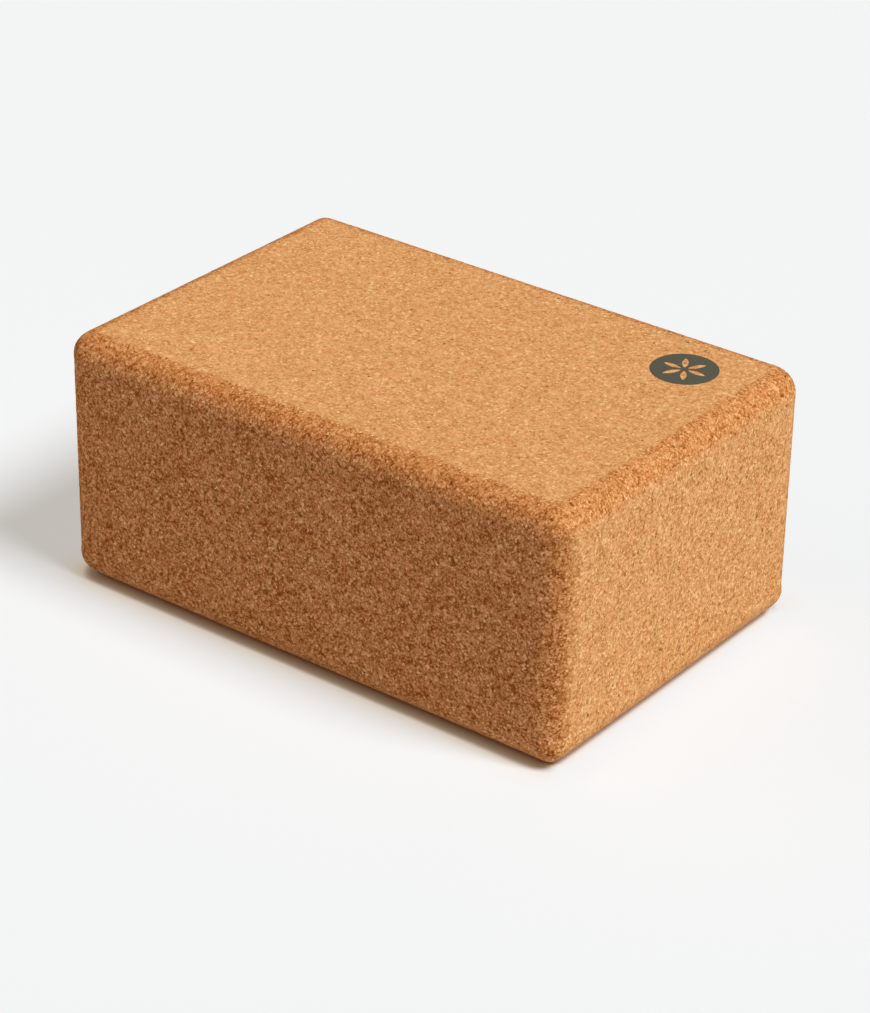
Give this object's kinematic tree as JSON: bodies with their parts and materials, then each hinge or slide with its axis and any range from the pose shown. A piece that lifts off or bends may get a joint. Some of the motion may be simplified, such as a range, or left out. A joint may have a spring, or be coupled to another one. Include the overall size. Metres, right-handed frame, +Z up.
{
  "type": "yoga block",
  "caption": "Rectangular yoga block of pressed cork granules with every edge rounded over and a small round ink print near one corner of its top.",
  "frame": {"origin": "middle of the base, on the surface that the block stands on", "axes": "+X along the block's length, towards the end beside the print; +Y across its width, towards the side beside the print; +Z up, through its thickness, out of the printed face"},
  "size_m": [0.2286, 0.1524, 0.1017],
  "materials": {
    "cork": "matte",
    "ink": "matte"
  },
  "bodies": {
    "root": {"cork_block": "cork", "ink_print": "ink"}
  },
  "joints": []
}
